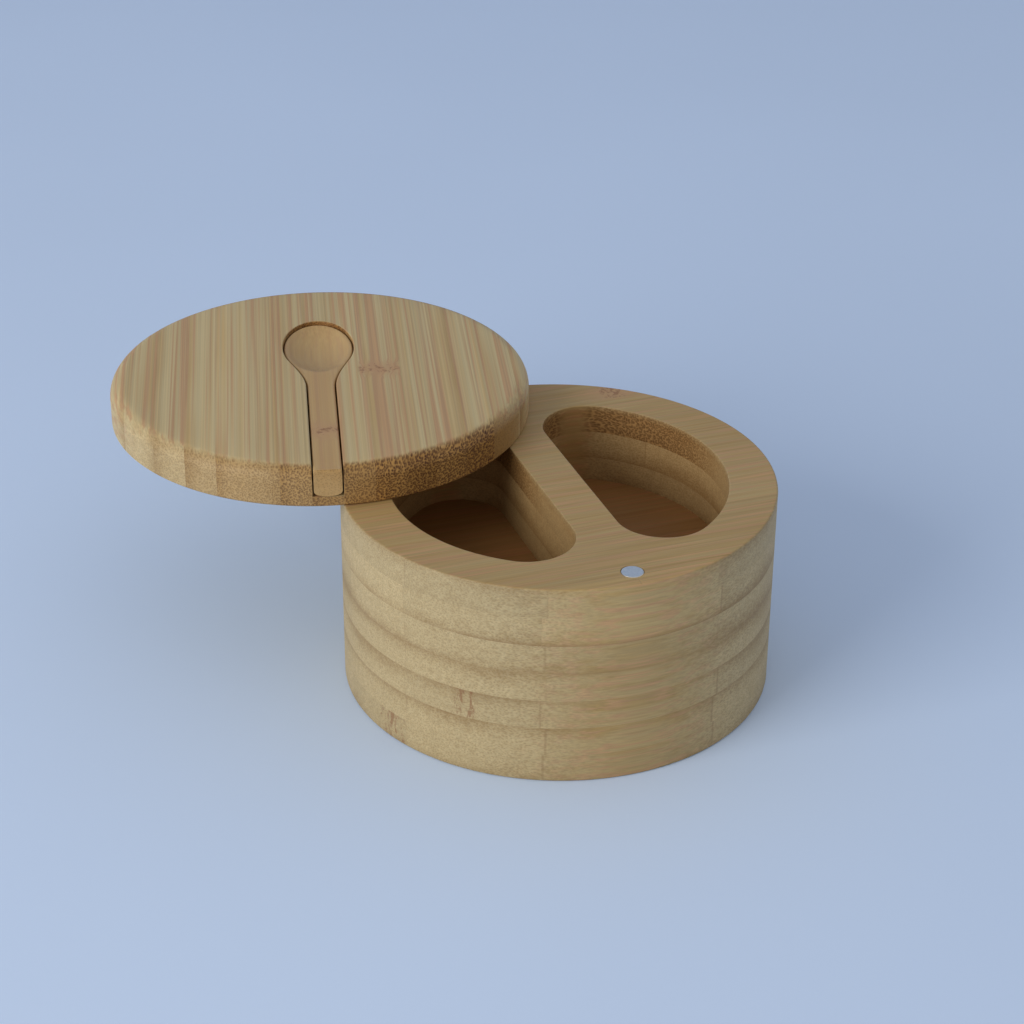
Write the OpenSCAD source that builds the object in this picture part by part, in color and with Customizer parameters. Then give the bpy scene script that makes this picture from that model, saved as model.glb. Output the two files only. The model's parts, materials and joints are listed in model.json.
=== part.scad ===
// Round salt box of glued bamboo. The base is a stack of boards with two wells cut into it.
// The lid is a row of upright staves that turns on a hidden steel pin, and a small spoon lies in it.
// Origin: centre of the base's underside, +Z up. The pin is on +Y and the magnets are on -Y.
// The grain of the boards runs along X, and so does the lid's when it is closed.

/* [Box] */
// Diameter of the base and of the lid
box_d = 120; // [106:1:150]

/* [Base] */
// Number of boards glued one on another
board_count = 7; // [5:1:9]
// Thickness of one board
board_t = 8.4; // [7:0.1:10]
// Bevel round the top of the base
top_bevel = 0.5; // [0.2:0.1:1.5]
// Bevel round the foot of the base
foot_bevel = 0.8; // [0.2:0.1:2]

/* [Wells] */
// Depth of the two wells
well_depth = 24; // [12:0.5:28]
// Wood left between a well and the outside
wall = 13.3; // [10:0.1:16]
// Width of the divider between the wells
divider_w = 12.7; // [9:0.1:20]
// Radius of the wells' upright corners
well_corner_r = 13.2; // [5:0.1:16]

/* [Lid] */
// Thickness of the lid
lid_t = 11.5; // [10.5:0.5:16]
// Radius that rounds the lid's upper edge
lid_round = 4.2; // [1:0.1:6]
// Bevel round the lid's lower edge
lid_bevel = 0.5; // [0.2:0.1:1.5]
// Width of one stave of the lid, rounded so that a whole odd number fills the lid
stave_w = 8.5; // [7:0.1:12]
// Width of the narrow strip along the lid's front edge and its back edge
edge_strip_w = 4.75; // [3:0.05:8]
// Air between the base and the lid
lid_gap = 0.2; // [0.1:0.05:0.5]
// How far the lid is swung open, in degrees
lid_open = 104; // [0:1:180]

/* [Pivot pin] */
// Diameter of the pin
pin_d = 6; // [4:0.5:7]
// Distance from the rim to the pin's axis
pin_inset = 9; // [7:0.5:12]
// Length of pin pressed into the base
pin_in_base = 20; // [10:1:26]
// Length of pin that stands up into the lid
pin_in_lid = 7.5; // [5:0.5:8.5]
// Air between the pin and the lid's bore, on the radius
pin_air = 0.05; // [0.02:0.01:0.1]
// Air above the end of the pin
pin_end_air = 0.5; // [0.3:0.1:1]

/* [Magnets] */
// Diameter of the two disc magnets
magnet_d = 6; // [4:0.5:8]
// Thickness of a magnet
magnet_t = 3; // [1.5:0.5:5]
// Distance from the rim to a magnet's centre
magnet_inset = 6.6; // [5.5:0.1:9]

/* [Spoon] */
// Width of the spoon's bowl
bowl_w = 20; // [14:0.5:26]
// Length of the oval that forms the bowl
bowl_l = 34.4; // [26:0.2:44]
// Distance from the lid's centre to the bowl's centre
bowl_reach = 17.5; // [10:0.5:22]
// Width of the handle
handle_w = 7.7; // [5:0.1:10]
// Radius that rounds the upper edge of the handle's end
handle_round = 1.8; // [0.5:0.1:4]
// Length over which the bowl narrows to the handle
neck_l = 17; // [8:0.5:24]
// Share of the bowl's half length at which the neck starts
neck_start = 0.55; // [0.3:0.05:0.7]
// Depth of the hollow in the bowl
hollow_depth = 2.8; // [1:0.1:5]
// Wood left between the hollow and the bowl's edge
bowl_rim = 1; // [0.5:0.1:4]
// Slope of the bowl's top down to its tip, in degrees
bowl_slope = 1; // [0:0.5:6]

/* [Spoon recess] */
// Depth of the recess in the lid
recess_depth = 8.5; // [6.5:0.1:9]
// Air round the spoon in its recess
spoon_air = 0.4; // [0.2:0.05:0.8]
// Height of the lid's top above the spoon's
spoon_drop = 0.4; // [0.1:0.1:1.5]
// Air under the spoon
spoon_seat_air = 0.1; // [0.05:0.05:0.5]

/* [Hidden] */
$fn = 96;
box_r = box_d / 2;
base_h = board_count * board_t;
lid_z = base_h + lid_gap;
through = 1;

well_r = box_r - wall;
corner_x = divider_w / 2 + well_corner_r;
corner_y = sqrt(pow(well_r - well_corner_r, 2) - pow(corner_x, 2));
corner_turn = atan2(corner_y, corner_x);

pin_y = box_r - pin_inset;
magnet_y = magnet_inset - box_r;

staves_span = box_d - 2 * edge_strip_w;
side_staves = round((staves_span / stave_w - 1) / 2);
stave_pitch = staves_span / (2 * side_staves + 1);

bowl_half_l = bowl_l / 2;
bowl_half_w = bowl_w / 2;
neck_x = bowl_reach - neck_start * bowl_half_l;
neck_w = bowl_half_w * sqrt(1 - pow(neck_start, 2));
neck_slope = neck_start * bowl_half_w / (bowl_half_l * sqrt(1 - pow(neck_start, 2)));
recess_floor = lid_t - recess_depth;
spoon_low = recess_floor + spoon_seat_air;
spoon_top = lid_t - spoon_drop;

light_board = [0.80, 0.64, 0.40];
dark_board = [0.74, 0.57, 0.35];
light_stave = [0.82, 0.67, 0.44];
dark_stave = [0.76, 0.59, 0.37];
steel = [0.72, 0.73, 0.75];
magnet_silver = [0.84, 0.85, 0.87];
spoon_wood = [0.84, 0.66, 0.45];

// Base

// Points on an arc about a centre, in the given number of steps, between two angles
function arc(x, y, r, from, to, steps) =
    [for (j = [0 : steps]) let (turn = from + (to - from) * j / steps)
        [x + r * cos(turn), y + r * sin(turn)]];

// Plan of the well on +X: a half disc with two round corners
module well_plan() {
    outer = arc(0, 0, well_r, -corner_turn, corner_turn, 48);
    polygon(concat(
        arc(corner_x, -corner_y, well_corner_r, 180, 360 - corner_turn, 20),
        [for (j = [1 : len(outer) - 2]) outer[j]],
        arc(corner_x, corner_y, well_corner_r, corner_turn, 180, 20)
    ));
}

module wells() {
    for (side = [0, 1])
        mirror([side, 0, 0])
            translate([0, 0, base_h - well_depth])
                linear_extrude(well_depth + through)
                    well_plan();
}

module board_blank(i) {
    low = i == 1 ? foot_bevel : 0;
    high = i == board_count ? top_bevel : 0;
    translate([0, 0, (i - 1) * board_t])
        rotate_extrude()
            polygon([
                [0, 0],
                [box_r - low, 0],
                [box_r, low],
                [box_r, board_t - high],
                [box_r - high, board_t],
                [0, board_t]
            ]);
}

module base_board(i) {
    color(i % 2 == 0 ? dark_board : light_board)
        difference() {
            board_blank(i);
            wells();
            translate([0, pin_y, base_h - pin_in_base])
                cylinder(d = pin_d, h = pin_in_base + through);
            translate([0, magnet_y, base_h - magnet_t])
                cylinder(d = magnet_d, h = magnet_t + through);
        }
}

module pivot_pin() {
    color(steel)
        translate([0, pin_y, base_h - pin_in_base])
            cylinder(d = pin_d, h = pin_in_base + lid_gap + pin_in_lid);
}

module base_magnet() {
    color(magnet_silver)
        translate([0, magnet_y, base_h - magnet_t])
            cylinder(d = magnet_d, h = magnet_t);
}

// Lid: everything below is drawn closed, and swing() turns it open about the pin

module swing() {
    translate([0, pin_y, lid_z])
        rotate([0, 0, -lid_open])
            translate([0, -pin_y, 0])
                children();
}

// The whole lid before it is cut, with its upper edge rounded by the given radius
module lid_blank(edge) {
    rotate_extrude()
        union() {
            polygon([
                [0, 0],
                [box_r - lid_bevel, 0],
                [box_r, lid_bevel],
                [box_r, lid_t - edge],
                [box_r - edge, lid_t],
                [0, lid_t]
            ]);
            intersection() {
                translate([box_r - edge, lid_t - edge])
                    circle(edge);
                translate([box_r - edge, lid_t - edge])
                    square(edge);
            }
        }
}

// Half width of the spoon at x along it, measured from the lid's centre towards the bowl.
// The bowl is an ellipse, and a cubic curve carries it down to the straight handle
function spoon_half_w(x) =
    let (s = (x - neck_x + neck_l) / neck_l,
         drop = neck_w - handle_w / 2,
         ends = 3 * s * s - 2 * s * s * s,
         pull = (s * s * s - s * s) * neck_slope * neck_l / drop)
    x <= neck_x - neck_l ? handle_w / 2 : handle_w / 2 + drop * (ends + pull);

// One side of the spoon's plan, from the tip to beyond the rim, with the given air round it
function spoon_side(air) =
    let (tip_turn = acos(-neck_start))
    concat(
        [for (j = [0 : 16]) let (turn = tip_turn * j / 16)
            [bowl_reach + (bowl_half_l + air) * cos(turn), (bowl_half_w + air) * sin(turn)]],
        [for (j = [1 : 10]) let (x = neck_x - neck_l * j / 10) [x, spoon_half_w(x) + air]],
        [[-box_r - through, handle_w / 2 + air]]
    );

module spoon_plan(air) {
    side = spoon_side(air);
    mirror([1, 0, 0])
        polygon(concat(
            side,
            [for (j = [len(side) - 1 : -1 : 1]) [side[j][0], -side[j][1]]]
        ));
}

module recess() {
    translate([0, 0, recess_floor])
        linear_extrude(recess_depth + through)
            spoon_plan(spoon_air);
}

// One strip of the lid, from the given y, with all that is cut into the lid
module lid_strip(y, strip_w) {
    swing()
        difference() {
            intersection() {
                lid_blank(lid_round);
                translate([-box_r, y, 0])
                    cube([box_d, strip_w, lid_t]);
            }
            recess();
            translate([0, pin_y, -through])
                cylinder(r = pin_d / 2 + pin_air, h = pin_in_lid + pin_end_air + through);
            translate([0, magnet_y, -through])
                cylinder(d = magnet_d, h = magnet_t + through);
        }
}

// Staves are counted from the middle one, backwards to the pin and, with a minus, forwards
module lid_stave(k) {
    color(k % 2 == 0 ? dark_stave : light_stave)
        lid_strip((k - 0.5) * stave_pitch, stave_pitch);
}

module lid_edge_strip_front() {
    color(light_stave)
        lid_strip(-box_r, edge_strip_w);
}

module lid_edge_strip_back() {
    color(light_stave)
        lid_strip(box_r - edge_strip_w, edge_strip_w);
}

module lid_magnet() {
    color(magnet_silver)
        swing()
            translate([0, magnet_y, 0])
                cylinder(d = magnet_d, h = magnet_t);
}

module spoon() {
    color(spoon_wood)
        swing()
            difference() {
                intersection() {
                    lid_blank(handle_round);
                    translate([0, 0, spoon_low])
                        linear_extrude(spoon_top - spoon_low)
                            spoon_plan(0);
                }
                translate([bowl_half_l - bowl_reach, 0, spoon_top])
                    rotate([0, -bowl_slope, 0]) {
                        translate([-bowl_l - through, -bowl_half_w - through, 0])
                            cube([bowl_l + 2 * through, bowl_w + 2 * through, lid_t]);
                        translate([-bowl_half_l, 0, 0])
                            scale([bowl_half_l - bowl_rim, bowl_half_w - bowl_rim, hollow_depth])
                                sphere(1);
                    }
            }
}

for (i = [1 : board_count])
    base_board(i);
lid_stave(0);  // lid_stave_middle
for (k = [1 : side_staves])
    lid_stave(-k);
for (k = [1 : side_staves])
    lid_stave(k);
lid_edge_strip_front();
lid_edge_strip_back();
pivot_pin();
base_magnet();
lid_magnet();
spoon();
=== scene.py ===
"""Dresses a round salt box of glued bamboo: a stack of boards with two wells, a lid of upright
staves that swivels on a hidden pin, a spoon that lies in the lid, and two disc magnets.

Lengths are metres. The lid and its spoon are worked out as if closed, and then turned open.
"""

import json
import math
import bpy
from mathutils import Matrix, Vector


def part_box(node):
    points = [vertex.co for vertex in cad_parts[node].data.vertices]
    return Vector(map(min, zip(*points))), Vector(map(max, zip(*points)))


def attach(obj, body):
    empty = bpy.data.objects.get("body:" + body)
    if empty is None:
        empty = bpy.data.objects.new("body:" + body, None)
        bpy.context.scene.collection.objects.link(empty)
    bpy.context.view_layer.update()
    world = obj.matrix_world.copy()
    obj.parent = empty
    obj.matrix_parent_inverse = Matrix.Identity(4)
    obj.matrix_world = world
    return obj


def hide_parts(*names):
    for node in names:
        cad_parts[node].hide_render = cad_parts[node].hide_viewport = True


bl_info = {
    "name": "Bamboo Salt Box",
    "version": (1, 0, 0),
    "blender": (4, 5, 0),
    "location": "3D View > Sidebar > Salt Box",
    "description": "Makes the boards, staves, spoon, pin and magnets of a bamboo salt box",
    "category": "Object",
}

import bmesh
import bpy
import numpy as np
from bpy.props import FloatProperty, FloatVectorProperty, IntProperty, PointerProperty
from mathutils import Matrix, Vector

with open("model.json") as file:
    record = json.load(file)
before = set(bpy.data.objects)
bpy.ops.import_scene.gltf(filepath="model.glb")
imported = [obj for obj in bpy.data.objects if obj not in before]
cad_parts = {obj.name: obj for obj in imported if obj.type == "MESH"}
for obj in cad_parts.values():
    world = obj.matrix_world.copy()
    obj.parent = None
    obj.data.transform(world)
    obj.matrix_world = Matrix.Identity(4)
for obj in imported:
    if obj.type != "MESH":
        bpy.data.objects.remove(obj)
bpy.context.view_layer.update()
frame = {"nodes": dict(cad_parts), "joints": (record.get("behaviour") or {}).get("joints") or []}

MM = 0.001

# How far a cutter reaches past the wood that it cuts
CLEAR = 1 * MM

# Distance from the base's centre to the point about which a well's surface is laid
WELL_HUB = 27 * MM

# Distances from the lid's centre: the handle's slot is straight past the first, and the columns of
# the rounded rim take over at the second
SLOT_STRAIGHT, SLOT_END = 16 * MM, 50 * MM

BOARDS = sorted(n for n in frame["nodes"] if n.startswith("base_board_"))
STAVES = sorted(n for n in frame["nodes"] if n.startswith(("lid_stave_", "lid_edge_strip_")))


# Measures taken from the frame

def node_points(obj):
    """Every vertex of an object, or of a CAD node given by name, one row each."""
    mesh = (frame["nodes"][obj] if isinstance(obj, str) else obj).data
    points = np.empty(len(mesh.vertices) * 3, np.float32)
    mesh.vertices.foreach_get("co", points)
    return points.reshape(-1, 3).astype(float)


def middle(node):
    """The centre of a CAD node's box."""
    low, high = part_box(node)
    return np.array((low + high) / 2)


def flat_levels(node):
    """The heights at which a CAD node has points, from the lowest up, to a hundredth of a millimetre."""
    return np.unique(np.round(node_points(node)[:, 2], 5))


def round_size(value):
    """A length to the nearest half millimetre, because the frame's circles are many-sided."""
    return round(value / (0.5 * MM)) * 0.5 * MM


RADIUS = round_size(np.abs(node_points(BOARDS[0])[:, :2]).max())
BASE_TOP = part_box(BOARDS[-1])[1].z
WELL_FLOOR = float(flat_levels(BOARDS[4])[1])
LID_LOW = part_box("lid_stave_middle")[0].z
LID_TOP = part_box("lid_stave_front_2")[1].z

SWIVEL = next(j for j in frame["joints"] if j["name"] == "lid_swivel")
PIVOT = np.array(SWIVEL["pos_m"][:2], float)
PIN_R = round_size(node_points("pivot_pin")[:, 0].max())
MAGNET_R = round_size(node_points("base_magnet")[:, 0].max())
OPEN_TURN = (math.atan2(*(middle("lid_magnet")[:2] - PIVOT))
             - math.atan2(*(middle("base_magnet")[:2] - PIVOT)))


def turned_about_pivot(points, turn):
    """Points turned about the pin's axis by an angle, anticlockwise as seen from above."""
    result = np.array(points, float)
    c, s = math.cos(turn), math.sin(turn)
    away = result[..., :2] - PIVOT
    result[..., 0] = PIVOT[0] + c * away[..., 0] - s * away[..., 1]
    result[..., 1] = PIVOT[1] + s * away[..., 0] + c * away[..., 1]
    return result


def swung(points):
    """Points of the closed lid, turned open with it."""
    return turned_about_pivot(points, -OPEN_TURN)


def closed_span(node):
    """Lowest and highest corner that a node of the lid would have if the lid were closed."""
    points = turned_about_pivot(node_points(node), OPEN_TURN)
    return points.min(0), points.max(0)


# Sizes and colours that a user would change

def length(name, default, description):
    return FloatProperty(name=name, description=description, default=default, min=0,
                         subtype="DISTANCE", unit="LENGTH", precision=5)


def fraction(name, default, description):
    return FloatProperty(name=name, description=description, default=default, min=0, max=1,
                         subtype="FACTOR")


def tint(name, default, description):
    return FloatVectorProperty(name=name, description=description, default=default, size=3,
                               min=0, max=1, subtype="COLOR")


class SaltBoxSizes(bpy.types.PropertyGroup):
    """Sizes of the finish that the frame doesn't give"""

    wall: length("Wall", 13.3 * MM, "Wood between a well and the outside")
    divider: length("Divider", 12.7 * MM, "Width of the divider between the wells")
    well_corner: length("Well corner", 13.2 * MM, "Radius of the wells' upright corners")
    rim_ease: length("Rim ease", 0.5 * MM, "Radius that eases the base's upper edge")
    foot_ease: length("Foot ease", 0.8 * MM, "Radius that eases the base's foot")
    board_strip: length("Board strip", 27.4 * MM, "Width of the strips that make up a board")
    strip_jog: length("Strip jog", 0.35 * MM, "How far a board's strips may lie to one side")
    sanded: length("Sanded", 1.5 * MM, "Wood sanded off the lowest board's foot and the rim")
    lip_ease: length("Lip ease", 0.3 * MM, "Radius that eases the mouths of the wells")
    lid_round: length("Lid round", 4.2 * MM, "Radius that rounds the lid's upper edge")
    lid_bevel: length("Lid bevel", 0.5 * MM, "Bevel round the lid's lower edge")
    recess_floor: length("Recess floor", 3.0 * MM, "Wood left under the spoon's recess")
    recess_air: length("Recess air", 0.4 * MM, "Air round the spoon in its recess")
    mouth_ease: length("Mouth ease", 0.3 * MM, "Radius that eases the recess's upper edge")
    bowl_half_w: length("Bowl half width", 10.0 * MM, "Half the width of the spoon's bowl")
    bowl_half_l: length("Bowl half length", 17.2 * MM, "Half the length of the bowl's oval")
    bowl_reach: length("Bowl reach", 17.5 * MM, "Distance from the lid's centre to the bowl's")
    bowl_slope: FloatProperty(name="Bowl slope", description="Slope of the bowl's top down to its tip",
                              default=math.radians(1.0), subtype="ANGLE", unit="ROTATION")
    bowl_rim: length("Bowl rim", 0.7 * MM, "Wood between the hollow and the bowl's edge")
    hollow: length("Hollow", 2.8 * MM, "Depth of the hollow in the bowl")
    neck_start: fraction("Neck start", 0.55, "Share of the bowl's half length at which the neck starts")
    neck: length("Neck", 17.0 * MM, "Length over which the bowl narrows to the handle")
    handle_half_w: length("Handle half width", 3.85 * MM, "Half the width of the handle")
    handle_round: length("Handle round", 1.8 * MM, "Radius that rounds the handle's end from above")
    spoon_ease: length("Spoon ease", 0.5 * MM, "Radius that eases the spoon's edges")
    keel: length("Keel", 2.2 * MM, "Height by which the bowl's underside curves up to its edge")
    belly: length("Belly", 1.4 * MM, "Height by which the handle's underside curves up to its edge")
    pin_ease: length("Pin ease", 0.5 * MM, "Radius that eases the pin's ends")
    magnet_ease: length("Magnet ease", 0.25 * MM, "Radius that eases a magnet's edges")
    magnet_air: length("Magnet air", 0.12 * MM, "Width of the dark ring round a magnet")
    pin_air: length("Pin air", 0.05 * MM, "Air between the pin and the lid's bore")
    pin_end_air: length("Pin end air", 0.5 * MM, "Air between the pin's end and the bore's")
    press_air: length("Press air", 0.01 * MM, "Air round the pin's lower part in the base")
    arc_steps: IntProperty(name="Arc steps", description="Steps in a small rounded edge",
                           default=4, min=2, max=12)


class SaltBoxColours(bpy.types.PropertyGroup):
    """Colours of the bamboo and the metal"""

    stave_pale: tint("Pale stave", (0.59, 0.46, 0.235), "Soft wood of the lid, along the grain")
    stave_rich: tint("Rich stave", (0.52, 0.345, 0.14), "Dense wood of the lid, along the grain")
    board_pale: tint("Pale board", (0.47, 0.335, 0.147), "Soft wood of the base, along the grain")
    board_rich: tint("Rich board", (0.43, 0.275, 0.098), "Dense wood of the base, along the grain")
    spoon_pale: tint("Pale spoon", (0.58, 0.385, 0.165), "Soft wood of the spoon")
    spoon_rich: tint("Rich spoon", (0.52, 0.32, 0.135), "Dense wood of the spoon")
    blush: tint("Blush", (0.52, 0.30, 0.145), "Pinkish wood that runs in long streaks")
    end_pale: tint("Pale end", (0.56, 0.43, 0.225), "Soft wood where the grain is cut across")
    end_rich: tint("Rich end", (0.37, 0.25, 0.11), "Dense wood where the grain is cut across")
    # This colour and the fibre colour stand partly for painted shade on the lid's cut ends and in the wells
    dark_end_and_shade: tint("Burnt end", (0.47, 0.24, 0.058), "Ground between the fibres of a browned end")
    # Painted shade: the next two colours darken the milled walls and floors of the wells and of the lid's
    # recess
    shaded_routed: tint("Routed wood", (0.80, 0.68, 0.56), "How much of each colour a routed wall keeps")
    shaded_sunk: tint("Sunk wood", (0.80, 0.67, 0.60), "How much of a routed wall's colour a sunk floor keeps")
    pore: tint("Pore", (0.29, 0.18, 0.065), "Fibre ends in pale wood")
    fibre: tint("Fibre", (0.075, 0.022, 0.006), "Fibre ends in browned wood")
    glue: tint("Glue line", (0.25, 0.14, 0.055), "Line where two strips are glued")
    knot: tint("Knot", (0.25, 0.105, 0.04), "Frayed strokes at the cane's joints")
    nickel: tint("Nickel", (0.83, 0.80, 0.74), "Plating of the magnets")
    steel: tint("Steel", (0.58, 0.59, 0.61), "Ground steel of the pin")
    floor: tint("Floor", (0.66, 0.79, 1.0), "Floor and backdrop")


# Surfaces

def arc(centre, radius, start, end, steps):
    """Points on an arc in a plane, from one angle to another, in degrees."""
    turn = np.radians(np.linspace(start, end, steps + 1))
    return np.stack([centre[0] + radius * np.cos(turn), centre[1] + radius * np.sin(turn)], 1)


def grid_faces(rows, columns, close_rows=False, close_columns=False):
    """Quads over a grid whose rows run along the first parameter and columns along the second.
    A closed direction joins its last line to its first."""
    i = np.arange(rows if close_rows else rows - 1)
    j = np.arange(columns if close_columns else columns - 1)
    i, j = (a.ravel() for a in np.meshgrid(i, j, indexing="ij"))
    i2, j2 = (i + 1) % rows, (j + 1) % columns
    return np.stack([i * columns + j, i2 * columns + j, i2 * columns + j2, i * columns + j2], 1)


def slab(x, y, top, bottom):
    """Two sheets over one grid of places, joined round their edge by upright faces: the upper
    sheet has the heights top, the lower one bottom. x grows along the rows, y along the columns."""
    rows, columns = x.shape
    upper = np.stack([x, y, top], -1).reshape(-1, 3)
    lower = np.stack([x, y, bottom], -1).reshape(-1, 3)
    sheet = grid_faces(rows, columns)
    place = np.arange(rows * columns).reshape(rows, columns)
    edge = np.concatenate([place[:-1, 0], place[-1, :-1], place[:0:-1, -1], place[0, :0:-1]])
    following = np.roll(edge, -1)
    count = rows * columns
    sides = np.stack([edge + count, following + count, following, edge], 1)
    return np.concatenate([upper, lower]), np.concatenate([sheet, sheet[:, ::-1] + count, sides])


def turned(profile, centre, steps=256):
    """A profile of (radius, height) points carried round an upright axis at centre. It starts and
    ends on the axis, where the rings shrink to poles."""
    turn = np.linspace(0, 2 * np.pi, steps, endpoint=False)
    radius, height = np.asarray(profile, float).T
    points = np.stack([
        centre[0] + radius[:, None] * np.cos(turn),
        centre[1] + radius[:, None] * np.sin(turn),
        np.broadcast_to(height[:, None], (len(radius), steps)),
    ], -1)
    return points.reshape(-1, 3), grid_faces(len(radius), steps, close_columns=True)[:, ::-1]


def mirrored(points, faces, axis):
    """The surface and its mirror image across the plane where the given axis is zero. Faces that
    lie in that plane are left out, so that the two halves join into one closed shell."""
    on_plane = np.abs(points[faces][:, :, axis]).max(1) < 1e-9
    faces = faces[~on_plane]
    image = points.copy()
    image[:, axis] *= -1
    return np.concatenate([points, image]), np.concatenate([faces, faces[:, ::-1] + len(points)])


def finish_mesh(mesh, weld=2e-6, crease=math.radians(32)):
    """Welds doubles, drops faces without area, turns faces outwards and marks the sharp edges."""
    bm = bmesh.new()
    bm.from_mesh(mesh)
    bmesh.ops.remove_doubles(bm, verts=bm.verts, dist=weld)
    bmesh.ops.dissolve_degenerate(bm, edges=bm.edges, dist=weld)
    loose = [v for v in bm.verts if not v.link_faces]
    bmesh.ops.delete(bm, geom=loose, context="VERTS")
    bmesh.ops.recalc_face_normals(bm, faces=bm.faces)
    for face in bm.faces:
        face.smooth = True
    for edge in bm.edges:
        edge.smooth = edge.calc_face_angle(0) < crease
    bm.to_mesh(mesh)
    bm.free()


def piece(name, surface, material, body=None, nodes=()):
    """A finished object from a surface, riding on a body in place of CAD nodes."""
    points, faces = surface
    mesh = bpy.data.meshes.new(name)
    mesh.from_pydata(points.tolist(), [], faces.tolist())
    mesh.materials.append(material)
    finish_mesh(mesh)
    obj = bpy.data.objects.new(name, mesh)
    bpy.context.scene.collection.objects.link(obj)
    if body:
        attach(obj, body)
    if nodes:
        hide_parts(*nodes)
    return obj


def drilled(obj, holes):
    """Cuts upright round holes, each (centre, radius, low, high), and keeps the result as the mesh."""
    cutters = []
    for centre, radius, low, high in holes:
        profile = [(0, low), (radius, low), (radius, high), (0, high)]
        cutter = piece("cutter", turned(profile, centre, 96), obj.data.materials[0])
        cut = obj.modifiers.new("Hole", "BOOLEAN")
        cut.operation = "DIFFERENCE"
        cut.solver = "EXACT"
        cut.object = cutter
        cutters.append(cutter)
    result = bpy.data.meshes.new_from_object(obj.evaluated_get(bpy.context.evaluated_depsgraph_get()))
    result.name = obj.name
    obj.modifiers.clear()
    obj.data = result
    finish_mesh(result)
    for cutter in cutters:
        bpy.data.objects.remove(cutter)
    return obj


def mark_faces(obj, grain, centre, top, bottom, wall=1):
    """Stores two numbers at each face corner. The first says how squarely the face is cut across the grain:
    the size of its normal's share along the grain. The second is wall on a wall milled into the round body,
    and 2 on a floor: well inside its outline, below its top, above its underside. The material paints shade
    on the faces that the second number marks."""
    rim, lip, foot, level = 8 * MM, 0.6 * MM, 0.5 * MM, 0.9
    mesh = obj.data
    count = len(mesh.loops)
    normals, points = np.empty(count * 3, np.float32), node_points(obj)
    mesh.corner_normals.foreach_get("vector", normals)
    corner = np.empty(count, np.int32)
    mesh.loops.foreach_get("vertex_index", corner)
    points = points[corner]
    inside = np.hypot(*(points[:, :2] - centre).T) < RADIUS - rim
    inside &= points[:, 2] > bottom + foot
    depth = np.clip((top - points[:, 2]) / lip, 0, 1)
    kind = np.where(np.abs(normals[2::3]) > level, 2, wall)
    values = {"end_grain": np.abs(normals.reshape(-1, 3) @ np.asarray(grain, np.float32)),
              "shaded_routed": inside * depth * kind}
    for name, value in values.items():
        mesh.attributes.new(name, "FLOAT", "CORNER").data.foreach_set("value", value.astype(np.float32))


# Base

def board_surface(low, high, foot, rim, steps):
    """A solid board: a disc whose foot and rim are eased by quarter rounds."""
    profile = [(0, low)]
    profile += arc((RADIUS - foot, low + foot), foot, -90, 0, steps).tolist() if foot else [(RADIUS, low)]
    profile += arc((RADIUS - rim, high - rim), rim, 0, 90, steps).tolist() if rim else [(RADIUS, high)]
    return turned(profile + [(0, high)], (0, 0), 384)


def first_hit(origin_x, direction, centre, radius):
    """Distance from (origin_x, 0) along each direction to the far side of a circle."""
    away_x, away_y = origin_x - centre[0], -centre[1]
    along = direction[0] * away_x + direction[1] * away_y
    return -along + np.sqrt(np.maximum(along ** 2 - away_x ** 2 - away_y ** 2 + radius ** 2, 0))


def well_ring(sizes, turn, cx):
    """Distance from (cx, 0) to the well's outline in each direction: a straight divider, two
    corner circles and an arc about the base's centre."""
    well_r = RADIUS - sizes.wall
    corner_x = sizes.divider / 2 + sizes.well_corner
    corner_y = math.sqrt((well_r - sizes.well_corner) ** 2 - corner_x ** 2)
    corner_turn = math.atan2(corner_y, corner_x)
    d = np.cos(turn), np.sin(turn)
    outer = first_hit(cx, d, (0, 0), well_r)
    upper = first_hit(cx, d, (corner_x, corner_y), sizes.well_corner)
    lower = first_hit(cx, d, (corner_x, -corner_y), sizes.well_corner)
    flat = (sizes.divider / 2 - cx) / np.minimum(d[0], -1e-9)
    on_outer = np.abs(np.arctan2(d[1] * outer, cx + d[0] * outer)) <= corner_turn
    on_flat = (d[0] < 0) & (np.abs(d[1] * flat) <= corner_y)
    return np.where(on_outer, outer, np.where(on_flat, flat, np.where(d[1] > 0, upper, lower)))


def outer_ring(turn, cx, inset):
    """Distance from (cx, 0) to the outside of the half board: the outer circle less an inset, or
    the plane where the two halves meet, whichever is nearer."""
    d = np.cos(turn), np.sin(turn)
    circle = first_hit(cx, d, (0, 0), RADIUS - inset)
    plane = np.where(d[0] < -1e-9, -cx / np.minimum(d[0], -1e-9), np.inf)
    return np.minimum(circle, plane)


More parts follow.
